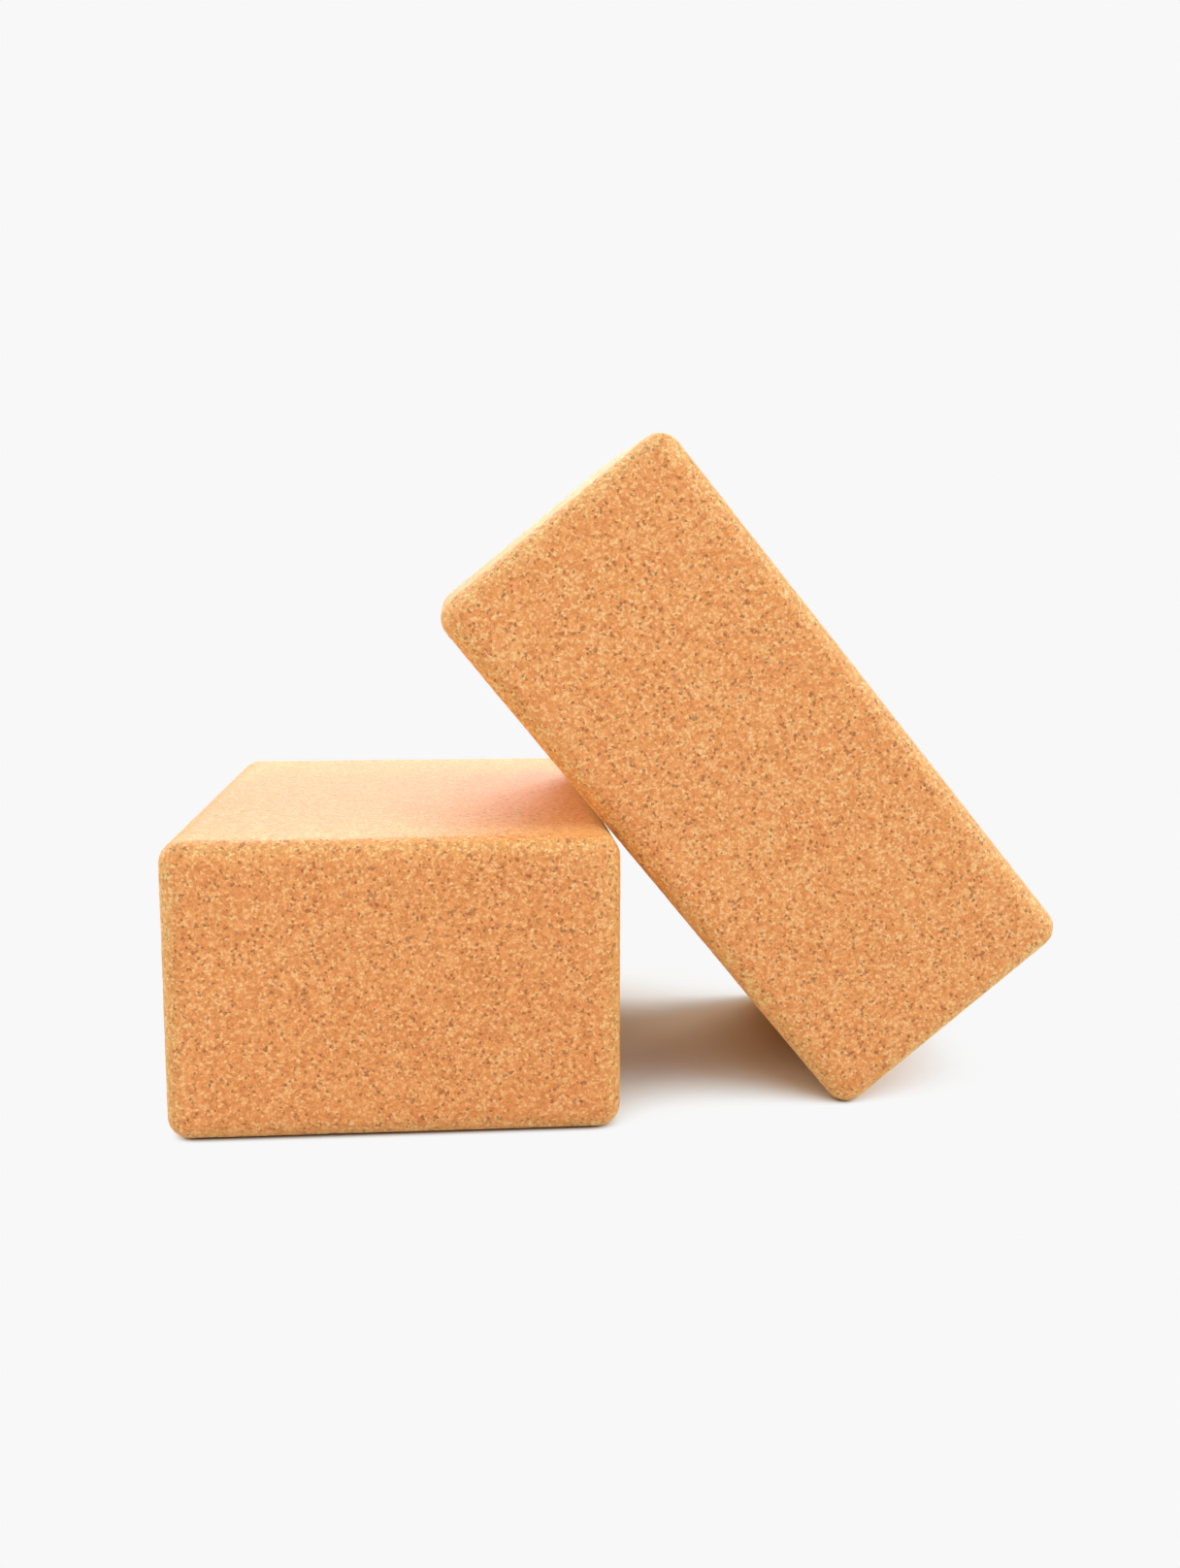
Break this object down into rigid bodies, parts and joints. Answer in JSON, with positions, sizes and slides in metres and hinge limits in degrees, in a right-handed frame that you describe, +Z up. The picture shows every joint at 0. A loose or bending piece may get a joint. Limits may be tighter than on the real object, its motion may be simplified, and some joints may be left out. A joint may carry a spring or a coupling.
{
  "type": "yoga block",
  "caption": "Solid cork yoga blocks with rounded-over edges and flat faces to stand, sit or press on; a loose block leans on one that lies flat.",
  "frame": {"origin": "centre of the broad face that the flat block rests on, at floor level", "axes": "+Z up; +X across the flat block, towards the side that the loose block leans on; +Y back along the flat block's length"},
  "size_m": [0.3098, 0.2286, 0.2347],
  "materials": {
    "cork": "matt"
  },
  "bodies": {
    "flat": {"flat_block": "cork"},
    "leaning": {"leaning_block": "cork"}
  },
  "joints": [
    {"name": "leaning_block_lift", "type": "slide", "parent": "flat", "child": "leaning", "axis": [0, 0, 1], "range_m": [0, 0.15]}
  ]
}
